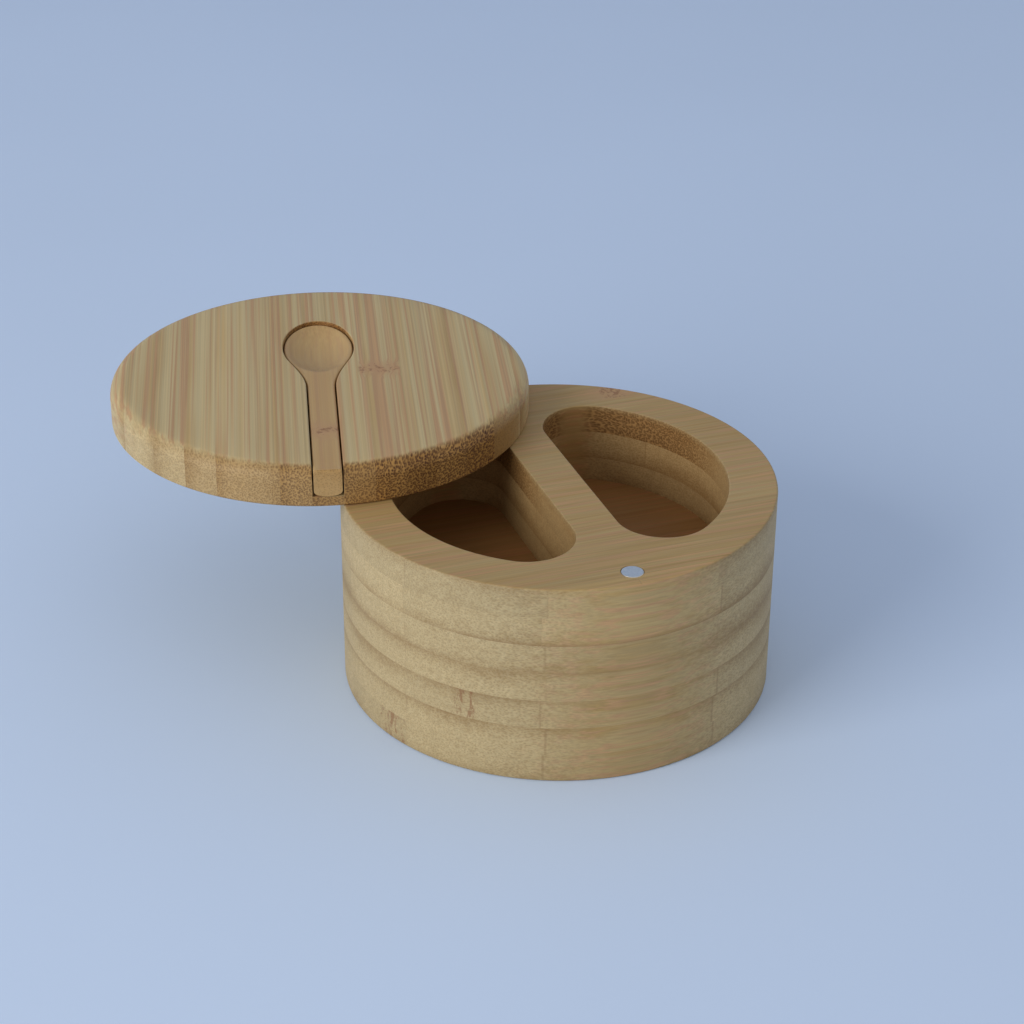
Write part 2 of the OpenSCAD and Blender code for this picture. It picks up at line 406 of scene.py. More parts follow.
def well_board_surface(sizes, low, high, floor, lip, rim):
    """A board with two wells. Half of it is a grid about the well's centre: one parameter goes
    round, the other goes up the well's wall, over the eased lip, across the top, down the outside
    and back under. Its mirror image makes the other half. The lowest board keeps a floor."""
    cx = WELL_HUB
    steps = sizes.arc_steps
    corner = math.atan2(RADIUS, -cx)
    turn = np.unique(np.concatenate([
        np.radians(np.arange(0, 360, 0.9)), [corner, 2 * np.pi - corner]]))
    well = well_ring(sizes, turn, cx)
    rings = []
    wall_low = floor if floor else low
    if floor:
        rings += [(well * part, floor) for part in (0, 0.3, 0.6, 0.9, 1)]
    wall_top = high - lip
    rings += [(well, z) for z in np.linspace(wall_low, wall_top, 6)]
    if lip:
        for a in np.radians(np.linspace(0, 90, steps + 1))[1:]:
            rings.append((well + lip * (1 - np.cos(a)), wall_top + lip * np.sin(a)))
    outer = outer_ring(turn, cx, rim)
    start = well + lip
    for part in (0.03, 0.25, 0.5, 0.75, 0.97):
        rings.append((start + (outer - start) * part, high))
    for a in np.radians(np.linspace(90, 0, steps + 1)) if rim else [0]:
        rings.append((outer_ring(turn, cx, rim * (1 - math.cos(a))), high - rim + rim * math.sin(a)))
    full = outer_ring(turn, cx, 0)
    rings += [(full, z) for z in np.linspace(high - rim, low, 5)[1:]]
    inner = np.zeros_like(full) if floor else well
    rings += [(inner + (full - inner) * part, low) for part in (0.66, 0.33)]
    if floor:
        rings.append((inner, low))
    distance = np.stack([r for r, z in rings])
    height = np.broadcast_to(np.array([z for r, z in rings])[:, None], distance.shape)
    x = cx + distance * np.cos(turn)
    y = distance * np.sin(turn)
    x[np.abs(x) < 1e-8] = 0
    points = np.stack([x, y, height], -1).reshape(-1, 3)
    faces = grid_faces(len(rings), len(turn), close_rows=not floor, close_columns=True)
    return mirrored(points, faces, 0)


# Lid

def lid_columns(sizes, edge):
    """Angles on the rounded edge at which the lid's grid has a column, with one where the lower
    bevel starts."""
    bevel = math.asin(1 - sizes.lid_bevel / edge)
    return np.concatenate([np.linspace(0, bevel, 7), np.linspace(bevel, np.pi / 2, 4)[1:]])


def lid_rim(sizes, y, edge):
    """The x, top and underside of every column on an upper edge rounded by the radius edge. The angle
    on the round starts where the round first meets a y. y is one row for all columns, or one each."""
    inner = RADIUS - edge
    start = np.arcsin(np.clip((np.abs(y) - inner) / edge, 0, 1))
    angle = start + (np.pi / 2 - start) * (lid_columns(sizes, edge)[:, None] / (np.pi / 2))
    rho = inner + edge * np.sin(angle)
    x = np.sqrt(np.maximum(rho ** 2 - y ** 2, 0))
    top = LID_TOP - edge * (1 - np.cos(angle))
    bottom = LID_LOW + np.maximum(rho - (RADIUS - sizes.lid_bevel), 0)
    return x, top, bottom


def stave_rows(low, high):
    """Rows across a stave, closer together towards the lid's edge: y is the sine of even angles."""
    first, last = np.arcsin(np.clip(np.array([low, high]) / RADIUS, -1, 1))
    count = max(3, math.ceil(abs(last - first) / math.radians(1.3)))
    rows = RADIUS * np.sin(np.linspace(first, last, count + 1))
    rows[0], rows[-1] = low, high
    return rows


def stave_surface(sizes, low, high):
    """A plain stave: columns run along it, from one rounded end to the other."""
    y = stave_rows(low, high)
    x_rim, top_rim, bottom_rim = lid_rim(sizes, y, sizes.lid_round)
    flat = np.linspace(-1, 1, 15)[1:-1, None] * x_rim[0]
    x = np.concatenate([-x_rim[::-1], flat, x_rim])
    level_top = np.broadcast_to(top_rim[0], flat.shape)
    level_low = np.broadcast_to(bottom_rim[0], flat.shape)
    top = np.concatenate([top_rim[::-1], level_top, top_rim])
    bottom = np.concatenate([bottom_rim[::-1], level_low, bottom_rim])
    return slab(x, np.broadcast_to(y, x.shape), top, bottom)


def spoon_half_width(sizes, along, air):
    """Half width of the spoon, or of its recess with some air, at a distance from the lid's centre
    towards the bowl. The bowl is an ellipse, and a cubic curve leads from it to the handle."""
    half_l, half_w = sizes.bowl_half_l + air, sizes.bowl_half_w + air
    start = sizes.bowl_reach - sizes.neck_start * half_l
    end_w = sizes.handle_half_w + air
    drop = half_w * math.sqrt(1 - sizes.neck_start ** 2) - end_w
    slope = sizes.neck_start * half_w / (half_l * math.sqrt(1 - sizes.neck_start ** 2))
    s = np.clip((along - start + sizes.neck) / sizes.neck, 0, 1)
    neck = end_w + drop * (3 * s ** 2 - 2 * s ** 3) + (s ** 3 - s ** 2) * slope * sizes.neck
    bowl = half_w * np.sqrt(np.clip(1 - ((along - sizes.bowl_reach) / half_l) ** 2, 0, 1))
    return np.where(along > start, bowl, neck)


def side_stave_surface(sizes, low, high):
    """A stave beside the spoon's recess. Its inner rows follow the recess: they cross the floor,
    climb the wall over an eased mouth, and go on to the stave's outer side."""
    side = 1 if high > 0 else -1
    near, far = sorted([abs(low), abs(high)])
    air = sizes.recess_air
    half_l, half_w = sizes.bowl_half_l + air, sizes.bowl_half_w + air
    tip = -sizes.bowl_reach - half_l * math.sqrt(1 - (near / half_w) ** 2)
    bowl_end = -sizes.bowl_reach + half_l * math.sqrt(1 - (near / half_w) ** 2)
    round_bowl = (1 - np.cos(np.linspace(0, np.pi, 60))) / 2
    inner_x = np.unique(np.concatenate([
        np.linspace(-SLOT_END, tip, 6), tip + (bowl_end - tip) * round_bowl,
        np.linspace(bowl_end, SLOT_STRAIGHT, 30), np.linspace(SLOT_STRAIGHT, SLOT_END, 6)]))
    outline = np.maximum(spoon_half_width(sizes, -inner_x, air), near)
    outline[inner_x <= tip + 1e-9] = near
    ease = np.where(inner_x > tip + 1e-9, sizes.mouth_ease, 0)
    rim_columns = len(lid_columns(sizes, sizes.lid_round))
    count = 2 * rim_columns + len(inner_x)
    inner = np.concatenate([np.full(rim_columns, near), outline, np.full(rim_columns, near)])
    ease = np.concatenate([np.zeros(rim_columns), ease, np.full(rim_columns, sizes.mouth_ease)])
    floor = LID_LOW + sizes.recess_floor
    angles = np.radians(np.linspace(0, 90, sizes.arc_steps + 1))
    rows_y = [np.full(count, near), (near + inner) / 2, inner]
    rows_drop = [None, None, None]
    for a in angles:
        rows_y.append(inner + ease * (1 - math.cos(a)))
        rows_drop.append(ease * (1 - math.sin(a)))
    base_y = inner + ease
    for part in (0.04, 0.2, 0.4, 0.6, 0.8, 1):
        rows_y.append(base_y + (far - base_y) * part)
        rows_drop.append(np.zeros(count))
    y = np.stack(rows_y, 1)
    # One set of rim columns serves both of the stave's ends
    ends = lid_rim(sizes, y[:rim_columns][::-1], sizes.lid_round)
    flat = np.broadcast_to(inner_x[:, None], (len(inner_x), y.shape[1]))
    between = flat, np.full_like(flat, LID_TOP), np.full_like(flat, LID_LOW)
    x, lid_top, lid_bottom = (np.concatenate([sign * end[::-1], level, end])
                              for sign, end, level in zip((-1, 1, 1), ends, between))
    top = np.stack([np.full(count, floor) if drop is None else np.maximum(lid_top[:, k] - drop, floor)
                    for k, drop in enumerate(rows_drop)], 1)
    if side < 0:
        x, y, top, lid_bottom = x[:, ::-1], -y[:, ::-1], top[:, ::-1], lid_bottom[:, ::-1]
    return slab(x, y, top, lid_bottom)


def middle_stave_surface(sizes, low, high):
    """The middle stave. Behind the bowl's tip it has its full height, and from there to the rim it
    is the floor of the recess and of the handle's slot."""
    air = sizes.recess_air
    y = np.linspace(low, high, 13)
    x_rim, top_rim, bottom_rim = lid_rim(sizes, y, sizes.lid_round)
    half_l, half_w = sizes.bowl_half_l + air, sizes.bowl_half_w + air
    tip = -sizes.bowl_reach - half_l * np.sqrt(1 - (y / half_w) ** 2)
    ease = sizes.mouth_ease
    floor = LID_LOW + sizes.recess_floor
    columns = [(-x, t, b) for x, t, b in zip(x_rim[::-1], top_rim[::-1], bottom_rim[::-1])]
    for part in (0.25, 0.5, 0.75, 0.96):
        columns.append((-x_rim[0] + (tip - ease + x_rim[0]) * part, LID_TOP, LID_LOW))
    for a in np.radians(np.linspace(90, 0, sizes.arc_steps + 1)):
        columns.append((tip - ease * (1 - math.cos(a)), LID_TOP - ease * (1 - math.sin(a)), LID_LOW))
    columns.append((tip, floor, LID_LOW))
    for part in (0.25, 0.5, 0.75):
        columns.append((tip + (x_rim[0] - tip) * part, floor, LID_LOW))
    columns += [(x, np.minimum(t, floor), b) for x, t, b in zip(x_rim, top_rim, bottom_rim)]
    x, top, bottom = (np.stack([np.broadcast_to(c[k], y.shape) for c in columns]) for k in range(3))
    return slab(x, np.broadcast_to(y, x.shape), top, bottom)


# Spoon

def spoon_surface(sizes):
    """Half of the spoon is a grid: one parameter follows the outline from the bowl's tip to the
    handle's end, the other goes from the centreline to the outline and down over its eased edge.
    The bowl's top slopes to its tip and holds a rounded hollow, and its underside curves up."""
    low, high = closed_span("spoon")
    handle_start, fan = -12 * MM, 0.45
    tip_turn = math.acos(-sizes.neck_start)
    bowl = np.linspace(0, tip_turn, 49)
    along = np.concatenate([
        sizes.bowl_reach + sizes.bowl_half_l * np.cos(bowl),
        np.linspace(sizes.bowl_reach - sizes.neck_start * sizes.bowl_half_l, handle_start, 30)[1:],
        np.linspace(handle_start, -SLOT_END, 12)[1:]])
    edge = spoon_half_width(sizes, along, 0)
    edge[0] = 0
    rim_x, rim_top = lid_rim(sizes, np.array([sizes.handle_half_w]), sizes.handle_round)[:2]
    start = np.searchsorted(-rim_top[:, 0], -high[2])
    along = np.concatenate([along, -rim_x[start:, 0]])
    edge = np.concatenate([edge, np.full(len(rim_x) - start, sizes.handle_half_w)])
    ceiling = np.concatenate([np.full(len(along) - len(rim_x) + start, high[2]),
                              np.minimum(rim_top[start:, 0], high[2])])
    slope_x, slope_y = np.gradient(along), np.gradient(edge)
    slope_x[0], slope_y[0] = 0, 1
    size = np.hypot(slope_x, slope_y)
    normal = np.stack([slope_y, -slope_x]) / size
    # Round the bowl's tip the rows fan out from points drawn together on the centreline
    focus = sizes.bowl_reach + (along - sizes.bowl_reach) * fan
    focus = np.where(along > sizes.bowl_reach, focus, along)
    ease = np.full_like(edge, sizes.spoon_ease)
    inner_x = along - normal[0] * ease
    inner_y = np.maximum(edge - normal[1] * ease, 0)
    xs, ys, drops = [], [], []
    for part in np.concatenate([np.linspace(0, 0.9, 16), [0.95, 1]]):
        xs.append(focus + (inner_x - focus) * part)
        ys.append(inner_y * part)
        drops.append(0)
    for a in np.radians(np.linspace(90, 0, sizes.arc_steps + 1))[1:]:
        back = ease * (1 - math.cos(a))
        xs.append(along - normal[0] * back)
        ys.append(np.maximum(edge - normal[1] * back, 0))
        drops.append(sizes.spoon_ease * (1 - math.sin(a)))
    x, y = np.stack(xs, 1), np.stack(ys, 1)
    drop = np.broadcast_to(np.array(drops), x.shape)
    top = ceiling[:, None] - drop
    top = np.minimum(top, bowl_top(sizes, x, y, high[2]) - drop)
    oval = np.hypot((x - sizes.bowl_reach) / sizes.bowl_half_l, y / sizes.bowl_half_w)
    fade = np.clip(x / sizes.bowl_reach, 0, 1)
    lift = sizes.keel * np.clip(oval, 0, 1) ** 4 * fade ** 2 * (3 - 2 * fade)
    across = np.clip(y / np.maximum(edge, 1e-6)[:, None], 0, 1)
    lift += sizes.belly * (1 - np.sqrt(1 - 0.98 * across ** 2)) * (1 - fade)
    bottom = low[2] + lift + drop
    points, faces = slab(-x, y, top, bottom)
    return mirrored(points, faces[:, ::-1], 1)


def bowl_top(sizes, along, across, level):
    """Height of the spoon's top: a plane that falls towards the tip, less the hollow, whose depth
    is a parabola over the oval inside the rim."""
    start = sizes.bowl_reach - sizes.bowl_half_l
    plane = level - np.maximum(along - start, 0) * math.tan(sizes.bowl_slope)
    oval = np.hypot((along - sizes.bowl_reach) / (sizes.bowl_half_l - sizes.bowl_rim),
                    across / (sizes.bowl_half_w - sizes.bowl_rim))
    return plane - sizes.hollow * np.clip(1 - oval ** 2, 0, 1)


# Materials

class Nodes:
    """Short forms for building one material's nodes. A call returns the node's output socket."""

    def __init__(self, name):
        self.material = bpy.data.materials.new(name)
        self.material.use_nodes = True
        self.tree = self.material.node_tree
        self.tree.nodes.clear()
        self.output = self.tree.nodes.new("ShaderNodeOutputMaterial")

    def add(self, kind, *inputs, out=0, **settings):
        node = self.tree.nodes.new("ShaderNode" + kind)
        for key, value in settings.items():
            setattr(node, key, value)
        for index, value in enumerate(inputs):
            self.plug(node.inputs[index], value)
        return node.outputs[out]

    def plug(self, socket, value):
        if isinstance(value, bpy.types.NodeSocket):
            self.tree.links.new(value, socket)
        elif value is not None:
            socket.default_value = value

    def math(self, operation, a, b=None, c=None, clamp=False):
        return self.add("Math", a, b, c, operation=operation, use_clamp=clamp)

    def ramp(self, value, low, high, to_low=0.0, to_high=1.0):
        return self.add("MapRange", value, low, high, to_low, to_high,
                        interpolation_type="SMOOTHSTEP", clamp=True)

    def blend(self, share, a, b, mode="MIX"):
        node = self.tree.nodes.new("ShaderNodeMix")
        node.data_type = "RGBA"
        node.blend_type = mode
        for index, value in ((0, share), (6, a), (7, b)):
            self.plug(node.inputs[index], value)
        return node.outputs[2]

    def mapped(self, vector, scale=(1, 1, 1), move=(0, 0, 0), turn=0.0):
        return self.add("Mapping", vector, move, (0, 0, turn), scale)

    def noise(self, vector, scale=1.0, detail=2.0, roughness=0.5, out=0):
        return self.add("TexNoise", vector, None, scale, detail, roughness, out=out)

    def shader(self, **inputs):
        node = self.tree.nodes.new("ShaderNodeBsdfPrincipled")
        for name, value in inputs.items():
            self.plug(node.inputs[name.replace("_", " ").title().replace("Ior", "IOR")], value)
        self.tree.links.new(node.outputs[0], self.output.inputs[0])
        return self.material


def rgba(colour):
    return (*colour, 1.0)


def wood_place(g, swing):
    """The place on the wood in millimetres with the grain along X, and its three numbers. Swing turns
    the pattern with the open lid."""
    turn = OPEN_TURN if swing else 0.0
    c, s = math.cos(turn), math.sin(turn)
    move = (PIVOT[0] - c * PIVOT[0] + s * PIVOT[1], PIVOT[1] - s * PIVOT[0] - c * PIVOT[1], 0)
    wood = g.mapped(g.add("TexCoord", out=3), (1 / MM, 1 / MM, 1 / MM), tuple(v / MM for v in move), turn)
    split = g.tree.nodes.new("ShaderNodeSeparateXYZ")
    g.plug(split.inputs[0], wood)
    return wood, dict(zip("XYZ", split.outputs))


def strip_lot(g, across, width, shift, seed):
    """A random number for the strip in which a point lies, and the distance to that strip's edge in
    millimetres, where strips of one width lie side by side."""
    count = g.math("MULTIPLY_ADD", across, MM / width, shift / width)
    lot = g.add("TexWhiteNoise", None, g.math("MULTIPLY_ADD", g.math("FLOOR", count), 7.31, seed * 3.77),
                noise_dimensions="1D", out=0)
    inside = g.math("FRACT", count)
    edge = g.math("MINIMUM", inside, g.math("SUBTRACT", 1.0, inside))
    return lot, g.math("MULTIPLY", edge, width / MM)


def knot_bands(g, wood, axes, knots):
    """How strongly the cane's joints show at a point: a wide soft zone, and the frayed strokes across
    the grain at its core. Each knot is (x, y, half its width across, half its width along)."""
    zone = core = 0.0
    waver = g.math("MULTIPLY_ADD", g.noise(g.mapped(wood, (0.15, 0.7, 0.7)), 1.0, 4.0, 0.7), 9.0, -4.5)
    strokes = g.ramp(g.noise(g.mapped(wood, (1.0, 0.8, 0.25)), 1.0, 3.0, 0.6), 0.46, 0.60)
    for x, y, half_across, half_along in knots:
        along = g.math("ABSOLUTE", g.math("ADD", g.math("SUBTRACT", axes["X"], x), waver))
        across = g.math("ABSOLUTE", g.math("SUBTRACT", axes["Y"], y))
        inside = g.ramp(across, half_across - 0.6, half_across + 0.3, 1.0, 0.0)
        wide = g.ramp(along, 0.0, 4 * half_along, 1.0, 0.0)
        narrow = g.ramp(along, half_along / 2, half_along, 1.0, 0.0)
        zone = g.math("MAXIMUM", g.math("MULTIPLY", wide, inside), zone)
        core = g.math("MAXIMUM", g.math("MULTIPLY", narrow, inside), core)
    return zone, g.math("MULTIPLY", core, strokes)


def fibre_dots(g, vector, crowd, density):
    """Dark spots where fibre bundles are cut: flat cells across the grain that keep their place along
    it, apart from a slow drift and a short wriggle. Crowd, from 0 to 1, makes the spots larger, and
    density is the number of them in a millimetre."""
    drift = g.add("VectorMath", g.noise(g.mapped(vector, (0.02, 0.2, 0.2)), 1.0, 1.0, out=1),
                  (0.0, 2.5, 2.5), operation="MULTIPLY")
    wriggle = g.add("VectorMath", g.noise(g.mapped(vector, (0.25, 1.0, 1.0)), 1.0, 2.0, out=1),
                    (0.0, 0.25, 0.25), operation="MULTIPLY")
    drifted = g.add("VectorMath", vector, drift, operation="ADD")
    place = g.add("VectorMath", drifted, wriggle, operation="ADD")
    split = g.tree.nodes.new("ShaderNodeSeparateXYZ")
    g.plug(split.inputs[0], place)
    cells = g.tree.nodes.new("ShaderNodeTexVoronoi")
    cells.voronoi_dimensions = "2D"
    g.plug(cells.inputs["Vector"], g.add("CombineXYZ", split.outputs[1], split.outputs[2], 0.0))
    cells.inputs["Scale"].default_value = density
    luck = g.add("SeparateColor", cells.outputs["Color"])
    reach = g.math("MULTIPLY_ADD", crowd, 0.34, 0.36)
    spot = g.add("MapRange", cells.outputs["Distance"], g.math("MULTIPLY", reach, 0.35), reach, 1.0, 0.0,
                 interpolation_type="SMOOTHSTEP")
    return g.math("MULTIPLY", spot, g.math("MULTIPLY_ADD", luck, 0.4, 0.6))


def bamboo(name, colours, pale, rich, *, swing=False, thick="Z", low=0.0, high=1.0, dense_high=True,
           strips=0.0, jog=0.0, seed=0, tone=1.0, end_tone=1.0, browned_and_shaded=0.0, well_shade=0.0, crowd=0.3,
           density=1.5, line=0.3, strong_line=None, streaks=1.0, dashes=1.0, knots=()):
    """Bamboo whose grain runs along X: long streaks where it is cut along, and fibre dots where it is
    cut across. The wood is denser and pinker on one side of a strip. Thick is the axis through the
    strip, between low and high. Strips is the width of the strips that lie side by side in a board.
    The browning argument, from 0 to 1, darkens the cut ends, partly as the wood's own browning and partly
    as painted shade, and the wells' painted shade does so in the wells only, growing towards the pin. Crowd
    and density size the dots. Line is how strongly the glue lines show, and strong_line the two distances
    across the grain between which the line on the strip's flat side shows most. Streaks is how strongly the
    streaks show, and dashes how often they change along the grain. Noise scales are per millimetre."""
    g = Nodes(name)
    wood, axes = wood_place(g, swing)
    facing = g.add("Attribute", out=2, attribute_name="end_grain")
    end = g.ramp(facing, 0.10, 0.60)
    if strips:
        lot, seam = strip_lot(g, axes["Y"], strips, jog, seed)
    else:
        lot, seam = g.add("Value"), None
        lot.default_value = math.sin(seed * 12.9898) * 43758.5453 % 1
    own = g.add("CombineXYZ", g.math("MULTIPLY", lot, 60.0), seed * 11.3, seed * 5.9)
    moved = g.add("VectorMath", wood, own, operation="ADD")
    zone = core = None
    if knots:
        zone, core = knot_bands(g, wood, axes, knots)
        swirl = g.math("MULTIPLY", zone, g.math("MULTIPLY_ADD", g.noise(moved, 0.2, 2.0), 7.0, -3.5))
        moved = g.add("VectorMath", moved, g.add("CombineXYZ", 0.0, swirl, 0.0), operation="ADD")

    # Density through the strip, from 0 to 1, with a slow wave
    depth = g.math("DIVIDE", g.math("SUBTRACT", axes[thick], low / MM), (high - low) / MM)
    inward = depth if dense_high else g.math("SUBTRACT", 1.0, depth)
    wave = g.noise(g.mapped(wood, (0.02, 0.04, 0.04), (seed * 3.1, 0, 0)), 1.0, 1.0)
    dense = g.ramp(g.math("MULTIPLY_ADD", g.math("SUBTRACT", wave, 0.5), 1.0, inward), 0.40, 1.20)

    # Darkening of the cut ends, partly the wood's own browning and partly painted shade, and painted shade
    # on the wells' walls, which grows towards the pin
    shaded_routed = g.add("Attribute", out=2, attribute_name="shaded_routed")
    well_shade_share = g.math("MULTIPLY", g.math("MULTIPLY", shaded_routed, well_shade), g.ramp(axes["Y"], -10.0, 22.0))
    brown_and_shade = g.math("MULTIPLY_ADD", well_shade_share, 0.6, browned_and_shaded, clamp=True)

    # Streaks
    fine = g.noise(g.mapped(moved, (0.006 * dashes, 2.2, 2.2)), 1.0, 3.0, 0.6)
    medium = g.noise(g.mapped(moved, (0.003 * dashes, 0.65, 0.65)), 1.0, 2.0, 0.5)
    pink = g.noise(g.mapped(moved, (0.004 * dashes, 0.75, 0.75), (31.0, 7.0, 3.0)), 1.0, 3.0, 0.55)
    sway = g.math("MULTIPLY", g.math("MULTIPLY_ADD", end, -1.2, 2.2), g.math("SUBTRACT", medium, 0.5))
    share = g.math("MULTIPLY_ADD", dense, 0.7, g.math("ADD", sway, 0.12), clamp=True)
    along = g.blend(share, rgba(pale), rgba(rich))
    along = g.blend(g.ramp(pink, 0.48, 0.62, 0.0, 0.75 * streaks), along, rgba(colours.blush))
    across = g.blend(share, rgba(colours.end_pale), rgba(colours.end_rich))
    across = g.blend(brown_and_shade, across, rgba(colours.dark_end_and_shade))
    across = g.blend(1.0, across, (end_tone, end_tone, end_tone, 1), "MULTIPLY")
    base = g.blend(end, along, across)
    contrast = g.math("MULTIPLY_ADD", end, 0.02 * streaks, 0.28 * streaks)
    shade = g.math("MULTIPLY_ADD", g.math("MULTIPLY_ADD", fine, 2.0, -1.0), contrast, tone)
    shade = g.math("MULTIPLY_ADD", lot, 0.12, g.math("SUBTRACT", shade, 0.06))
    base = g.blend(1.0, base, g.add("CombineColor", shade, shade, shade), "MULTIPLY")

    # Fibre ends
    # In the wells the dots also grow with the painted shade
    crowding = g.math("MULTIPLY_ADD", dense, 0.25, g.math("MULTIPLY_ADD", well_shade_share, 1.1, crowd), clamp=True)
    spot = fibre_dots(g, moved, crowding, density)
    strength = g.math("MULTIPLY", g.ramp(facing, 0.10, 0.50), g.math("MULTIPLY_ADD", crowding, 0.70, 0.28))
    speck = g.blend(brown_and_shade, rgba(colours.pore), rgba(colours.fibre))
    base = g.blend(g.math("MULTIPLY", spot, strength), base, speck)

    # Glue lines, which come and go
    patches = g.noise(g.mapped(wood, (0.035, 0.035, 0.035), (seed * 1.7, 4.0, 9.0)), 1.0, 1.0)
    patchy = g.ramp(patches, 0.40, 0.62, 0.12, 1.0)
    gap = g.math("MULTIPLY", g.math("SUBTRACT", 1.0, inward), (high - low) / MM)
    face = g.math("MAXIMUM", g.ramp(gap, 0.05, 0.20, 1.0, 0.0), g.ramp(gap, 0.1, 1.3, 0.45, 0.0))
    glued = face
    if seam is not None:
        glued = g.math("MAXIMUM", face, g.ramp(seam, 0.05, 0.20, 0.9, 0.0))
    glued = g.math("MULTIPLY", glued, g.math("MULTIPLY", patchy, line))
    if strong_line:
        first, last = strong_line
        here = g.math("COMPARE", axes["Y"], (first + last) / 2, (last - first) / 2)
        glued = g.math("MAXIMUM", glued, g.math("MULTIPLY", g.math("MULTIPLY", face, here), 0.7))
    base = g.blend(glued, base, rgba(colours.glue))
    if knots:
        pinkish = g.math("MULTIPLY", zone, g.math("MULTIPLY_ADD", end, -0.7, 0.7))
        base = g.blend(pinkish, base, rgba(colours.blush))
        base = g.blend(g.math("MULTIPLY", core, 0.65), base, rgba(colours.knot))

    # Painted shade on milled walls, and darker still on floors, in the wells and the lid's recess
    base = g.blend(1.0, base, g.blend(shaded_routed, (1, 1, 1, 1), rgba(colours.shaded_routed)), "MULTIPLY")
    floor = g.blend(g.math("SUBTRACT", shaded_routed, 1.0), (1, 1, 1, 1), rgba(colours.shaded_sunk))
    base = g.blend(1.0, base, floor, "MULTIPLY")

    bump = g.tree.nodes.new("ShaderNodeBump")
    bump.inputs["Strength"].default_value = 0.35
    bump.inputs["Distance"].default_value = 0.06 * MM
    height = g.math("SUBTRACT", g.math("MULTIPLY", fine, 0.5), g.math("MULTIPLY", spot, 0.4))
    g.plug(bump.inputs["Height"], height)
    rough = g.ramp(fine, 0.2, 0.8, 0.50, 0.62)
    return g.shader(base_color=base, roughness=rough, specular_ior_level=0.35, normal=bump.outputs[0])


def metal(name, colour, brushed, rough):
    """Plated or ground metal, with fine turned marks round the piece's own axis."""
    g = Nodes(name)
    place = g.add("TexCoord", out=3)
    marks = g.noise(g.mapped(place, (900, 900, 5000)), 1.0, 3.0, 0.6)
    tone = g.ramp(marks, 0.3, 0.7, 0.93, 1.03)
    colour = g.blend(1.0, rgba(colour), g.add("CombineColor", tone, tone, tone), "MULTIPLY")
    roughness = g.ramp(marks, 0.2, 0.8, rough, rough + brushed)
    return g.shader(base_color=colour, metallic=1.0, roughness=roughness)


# How each board looks, from the lowest up, with its knots in millimetres from the base's centre
BOARD_LOOKS = (
    {"dense_high": False, "tone": 0.93, "knots": [(-55.5, -22.0, 5.0, 2.0)]},
    {"dense_high": True, "tone": 0.93},
    {"dense_high": True, "tone": 0.93, "knots": [(-42.0, -41.0, 5.0, 2.6)]},
    {"dense_high": True, "tone": 0.93},
    {"dense_high": False, "tone": 0.98},
    {"dense_high": False, "strong_line": (-62.0, -41.1)},
    # The top board's wells get painted shade on their walls, growing towards the pin
    {"dense_high": True, "end_tone": 0.94, "well_shade": 0.85, "knots": [(33.5, 46.0, 4.0, 3.5)]},
)

# Knots of the closed lid and its spoon, in millimetres from the lid's centre
LID_KNOTS = [(-0.9, 17.0, 6.0, 2.0)]
SPOON_KNOTS = [(36.5, 0.0, 6.0, 2.2)]
LID_GRAIN = (math.cos(OPEN_TURN), -math.sin(OPEN_TURN), 0)
LID_CENTRE = swung([0, 0, 0])[:2]
STAVE_W = float(np.subtract(*closed_span("lid_stave_middle")[::-1])[1])

# How far the cut ends of the closed lid's staves are darkened, how crowded their dots are, and their tone:
# from the edge strip opposite the pin to the one beside it. The darkening towards the pin is partly the
# wood's own and partly painted shade where the lid's edge lies over the base.
STAVE_ENDS = (
    (0.05, 0.15, 1.02), (0.05, 0.15, 1.04), (0.15, 0.30, 1.00), (0.35, 0.35, 0.90), (0.50, 0.45, 0.88),
    (0.50, 0.50, 0.92), (0.70, 0.70, 0.93), (0.80, 0.65, 0.88), (0.85, 0.75, 0.82), (0.95, 0.95, 0.90),
    (1.00, 1.00, 0.80), (0.95, 1.00, 0.96), (1.00, 1.00, 0.84), (0.85, 0.00, 0.73), (0.90, 0.00, 0.50),
)


# Operators

class SALTBOX_OT_boards(bpy.types.Operator):
    """Make the base's boards, with the two wells and the holes for pin and magnet"""

    bl_idname = "saltbox.boards"
    bl_label = "Boards"

    def execute(self, context):
        sizes, colours = context.scene.salt_box_sizes, context.scene.salt_box_colours
        pin_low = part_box("pivot_pin")[0].z
        magnet_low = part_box("base_magnet")[0].z
        pin_hole = (PIVOT, PIN_R + sizes.press_air, pin_low, BASE_TOP + CLEAR)
        magnet_place, magnet_bore = middle("base_magnet")[:2], MAGNET_R + sizes.magnet_air
        magnet_hole = (magnet_place, magnet_bore, magnet_low, BASE_TOP + CLEAR)
        for k, node in enumerate(BOARDS):
            low, high = (corner.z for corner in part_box(node))
            first, last = k == 0, k == len(BOARDS) - 1
            # The outer boards are sanded thinner, so that their outer glue lines are gone
            material = bamboo(f"bamboo_{node}", colours, colours.board_pale, colours.board_rich,
                              low=low - first * sizes.sanded, high=high + last * sizes.sanded,
                              strips=sizes.board_strip, jog=sizes.strip_jog * math.sin(2.3 * k),
                              seed=k + 1, crowd=0.25, line=0.38, density=1.7, dashes=5.0, streaks=1.05,
                              **BOARD_LOOKS[k])
            if high < WELL_FLOOR:
                surface = board_surface(low, high, first * sizes.foot_ease, 0, sizes.arc_steps)
            else:
                floor = WELL_FLOOR if low < WELL_FLOOR else 0
                surface = well_board_surface(sizes, low, high, floor, last * sizes.lip_ease,
                                             last * sizes.rim_ease)
            obj = piece(f"board_{k + 1}", surface, material, "base", [node])
            if high > pin_low:
                drilled(obj, [pin_hole] + ([magnet_hole] if last else []))
            mark_faces(obj, (1, 0, 0), (0, 0), BASE_TOP, 0)
        return {"FINISHED"}


